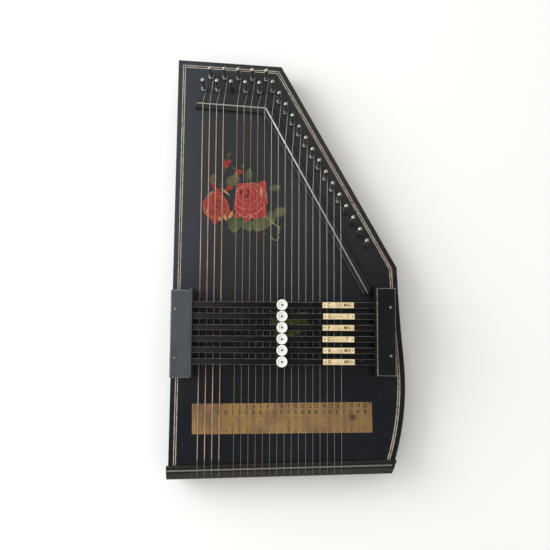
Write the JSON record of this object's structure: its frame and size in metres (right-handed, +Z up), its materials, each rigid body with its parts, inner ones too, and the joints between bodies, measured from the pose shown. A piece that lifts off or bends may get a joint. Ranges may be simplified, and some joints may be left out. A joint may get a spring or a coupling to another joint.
{
  "type": "chorded zither",
  "caption": "Shallow black lacquered zither box with steel strings, leaning tuning pins, a bent bridge and sprung chord bars that mute the strings when pressed.",
  "frame": {"origin": "under the middle of the instrument's box, at the level of the back board's lower face", "axes": "+X from the bass side to the treble side, +Y from the tail to the tuning pins, +Z up out of the soundboard"},
  "size_m": [0.2769, 0.5015, 0.0665],
  "materials": {
    "black_lacquer": "glossy black lacquer on wood",
    "black_paint": "satin black lacquer on wood",
    "bar_black": "satin black lacquer on wood",
    "spruce": "bare spruce",
    "bright_wire": "drawn nickel-plated wire",
    "string_steel": "drawn music wire",
    "spring_steel": "coiled spring wire",
    "pin_steel": "polished blued steel",
    "nickel": "nickel plate",
    "copper": "close-wound copper wire",
    "felt": "dark wool felt",
    "button_white": "white turned button"
  },
  "bodies": {
    "root": {"soundboard": "black_lacquer", "back_board": "black_lacquer", "pin_block": "black_lacquer", "tail_block": "black_lacquer", "side_rails": "black_lacquer", "braces": "spruce", "bridge_rail": "black_paint", "tail_rail": "black_paint", "bearing_wires": "bright_wire", "hitch_pins": "bright_wire", "strings": "string_steel", "string_windings": "copper", "holders": "black_paint", "holder_caps": "black_paint", "guide_plates": "black_paint", "cap_screws": "nickel", "bar_springs": "spring_steel"},
    "bar_1": {"chord_bar_1": "bar_black", "felt_pads_1": "felt", "button_1": "button_white"},
    "bar_2": {"chord_bar_2": "bar_black", "felt_pads_2": "felt", "button_2": "button_white"},
    "bar_3": {"chord_bar_3": "bar_black", "felt_pads_3": "felt", "button_3": "button_white"},
    "bar_4": {"chord_bar_4": "bar_black", "felt_pads_4": "felt", "button_4": "button_white"},
    "bar_5": {"chord_bar_5": "bar_black", "felt_pads_5": "felt", "button_5": "button_white"},
    "bar_6": {"chord_bar_6": "bar_black", "felt_pads_6": "felt", "button_6": "button_white"},
    "pin_01": {"tuning_pin_01": "pin_steel"},
    "pin_02": {"tuning_pin_02": "pin_steel"},
    "pin_03": {"tuning_pin_03": "pin_steel"},
    "pin_04": {"tuning_pin_04": "pin_steel"},
    "pin_05": {"tuning_pin_05": "pin_steel"},
    "pin_06": {"tuning_pin_06": "pin_steel"},
    "pin_07": {"tuning_pin_07": "pin_steel"},
    "pin_08": {"tuning_pin_08": "pin_steel"},
    "pin_09": {"tuning_pin_09": "pin_steel"},
    "pin_10": {"tuning_pin_10": "pin_steel"},
    "pin_11": {"tuning_pin_11": "pin_steel"},
    "pin_12": {"tuning_pin_12": "pin_steel"},
    "pin_13": {"tuning_pin_13": "pin_steel"},
    "pin_14": {"tuning_pin_14": "pin_steel"},
    "pin_15": {"tuning_pin_15": "pin_steel"},
    "pin_16": {"tuning_pin_16": "pin_steel"},
    "pin_17": {"tuning_pin_17": "pin_steel"},
    "pin_18": {"tuning_pin_18": "pin_steel"},
    "pin_19": {"tuning_pin_19": "pin_steel"},
    "pin_20": {"tuning_pin_20": "pin_steel"},
    "pin_21": {"tuning_pin_21": "pin_steel"},
    "pin_22": {"tuning_pin_22": "pin_steel"},
    "pin_23": {"tuning_pin_23": "pin_steel"},
    "pin_24": {"tuning_pin_24": "pin_steel"},
    "pin_25": {"tuning_pin_25": "pin_steel"}
  },
  "joints": [
    {"name": "bar_1_press", "type": "slide", "parent": "root", "child": "bar_1", "axis": [0, 0, -1], "range_m": [0, 0.0032], "stiffness_N_per_m": 600, "springref_m": -0.005, "deforming": ["bar_springs"]},
    {"name": "bar_2_press", "type": "slide", "parent": "root", "child": "bar_2", "axis": [0, 0, -1], "range_m": [0, 0.0032], "stiffness_N_per_m": 600, "springref_m": -0.005, "deforming": ["bar_springs"]},
    {"name": "bar_3_press", "type": "slide", "parent": "root", "child": "bar_3", "axis": [0, 0, -1], "range_m": [0, 0.0032], "stiffness_N_per_m": 600, "springref_m": -0.005, "deforming": ["bar_springs"]},
    {"name": "bar_4_press", "type": "slide", "parent": "root", "child": "bar_4", "axis": [0, 0, -1], "range_m": [0, 0.0032], "stiffness_N_per_m": 600, "springref_m": -0.005, "deforming": ["bar_springs"]},
    {"name": "bar_5_press", "type": "slide", "parent": "root", "child": "bar_5", "axis": [0, 0, -1], "range_m": [0, 0.0032], "stiffness_N_per_m": 600, "springref_m": -0.005, "deforming": ["bar_springs"]},
    {"name": "bar_6_press", "type": "slide", "parent": "root", "child": "bar_6", "axis": [0, 0, -1], "range_m": [0, 0.0032], "stiffness_N_per_m": 600, "springref_m": -0.005, "deforming": ["bar_springs"]},
    {"name": "pin_01_turn", "type": "hinge", "parent": "root", "child": "pin_01", "pos_m": [-0.1027, 0.2119, 0.039], "axis": [0, 0.2588, 0.9659], "range_deg": [-90, 90]},
    {"name": "pin_02_turn", "type": "hinge", "parent": "root", "child": "pin_02", "pos_m": [-0.0942, 0.2267, 0.039], "axis": [0, 0.2588, 0.9659], "range_deg": [-90, 90]},
    {"name": "pin_03_turn", "type": "hinge", "parent": "root", "child": "pin_03", "pos_m": [-0.08588, 0.21118, 0.039], "axis": [0, 0.2588, 0.9659], "range_deg": [-90, 90]},
    {"name": "pin_04_turn", "type": "hinge", "parent": "root", "child": "pin_04", "pos_m": [-0.07742, 0.22603, 0.039], "axis": [0, 0.2588, 0.9659], "range_deg": [-90, 90]},
    {"name": "pin_05_turn", "type": "hinge", "parent": "root", "child": "pin_05", "pos_m": [-0.06905, 0.21045, 0.039], "axis": [0, 0.2588, 0.9659], "continuous": true},
    {"name": "pin_06_turn", "type": "hinge", "parent": "root", "child": "pin_06", "pos_m": [-0.06065, 0.22535, 0.039], "axis": [0, 0.2588, 0.9659], "range_deg": [-90, 90]},
    {"name": "pin_07_turn", "type": "hinge", "parent": "root", "child": "pin_07", "pos_m": [-0.05223, 0.20972, 0.039], "axis": [0, 0.2588, 0.9659], "range_deg": [-90, 90]},
    {"name": "pin_08_turn", "type": "hinge", "parent": "root", "child": "pin_08", "pos_m": [-0.04387, 0.22468, 0.039], "axis": [0, 0.2588, 0.9659], "range_deg": [-90, 90]},
    {"name": "pin_09_turn", "type": "hinge", "parent": "root", "child": "pin_09", "pos_m": [-0.0354, 0.209, 0.039], "axis": [0, 0.2588, 0.9659], "range_deg": [-90, 90]},
    {"name": "pin_10_turn", "type": "hinge", "parent": "root", "child": "pin_10", "pos_m": [-0.0271, 0.224, 0.039], "axis": [0, 0.2588, 0.9659], "range_deg": [-90, 90]},
    {"name": "pin_11_turn", "type": "hinge", "parent": "root", "child": "pin_11", "pos_m": [-0.0196, 0.2102, 0.039], "axis": [0, 0.2588, 0.9659], "range_deg": [-90, 90]},
    {"name": "pin_12_turn", "type": "hinge", "parent": "root", "child": "pin_12", "pos_m": [-0.01169, 0.19663, 0.039], "axis": [0, 0.2588, 0.9659], "range_deg": [-90, 90]},
    {"name": "pin_13_turn", "type": "hinge", "parent": "root", "child": "pin_13", "pos_m": [-0.00377, 0.18306, 0.039], "axis": [0, 0.2588, 0.9659], "range_deg": [-90, 90]},
    {"name": "pin_14_turn", "type": "hinge", "parent": "root", "child": "pin_14", "pos_m": [0.00414, 0.16949, 0.039], "axis": [0, 0.2588, 0.9659], "range_deg": [-90, 90]},
    {"name": "pin_15_turn", "type": "hinge", "parent": "root", "child": "pin_15", "pos_m": [0.01206, 0.15591, 0.039], "axis": [0, 0.2588, 0.9659], "range_deg": [-90, 90]},
    {"name": "pin_16_turn", "type": "hinge", "parent": "root", "child": "pin_16", "pos_m": [0.01997, 0.14234, 0.039], "axis": [0, 0.2588, 0.9659], "range_deg": [-90, 90]},
    {"name": "pin_17_turn", "type": "hinge", "parent": "root", "child": "pin_17", "pos_m": [0.02789, 0.12877, 0.039], "axis": [0, 0.2588, 0.9659], "range_deg": [-90, 90]},
    {"name": "pin_18_turn", "type": "hinge", "parent": "root", "child": "pin_18", "pos_m": [0.0358, 0.1152, 0.039], "axis": [0, 0.2588, 0.9659], "range_deg": [-90, 90]},
    {"name": "pin_19_turn", "type": "hinge", "parent": "root", "child": "pin_19", "pos_m": [0.04371, 0.10163, 0.039], "axis": [0, 0.2588, 0.9659], "range_deg": [-90, 90]},
    {"name": "pin_20_turn", "type": "hinge", "parent": "root", "child": "pin_20", "pos_m": [0.05163, 0.08806, 0.039], "axis": [0, 0.2588, 0.9659], "range_deg": [-90, 90]},
    {"name": "pin_21_turn", "type": "hinge", "parent": "root", "child": "pin_21", "pos_m": [0.05954, 0.07449, 0.039], "axis": [0, 0.2588, 0.9659], "range_deg": [-90, 90]},
    {"name": "pin_22_turn", "type": "hinge", "parent": "root", "child": "pin_22", "pos_m": [0.06746, 0.06091, 0.039], "axis": [0, 0.2588, 0.9659], "continuous": true},
    {"name": "pin_23_turn", "type": "hinge", "parent": "root", "child": "pin_23", "pos_m": [0.07537, 0.04734, 0.039], "axis": [0, 0.2588, 0.9659], "continuous": true},
    {"name": "pin_24_turn", "type": "hinge", "parent": "root", "child": "pin_24", "pos_m": [0.08329, 0.03377, 0.039], "axis": [0, 0.2588, 0.9659], "continuous": true},
    {"name": "pin_25_turn", "type": "hinge", "parent": "root", "child": "pin_25", "pos_m": [0.0912, 0.0202, 0.039], "axis": [0, 0.2588, 0.9659], "continuous": true}
  ]
}
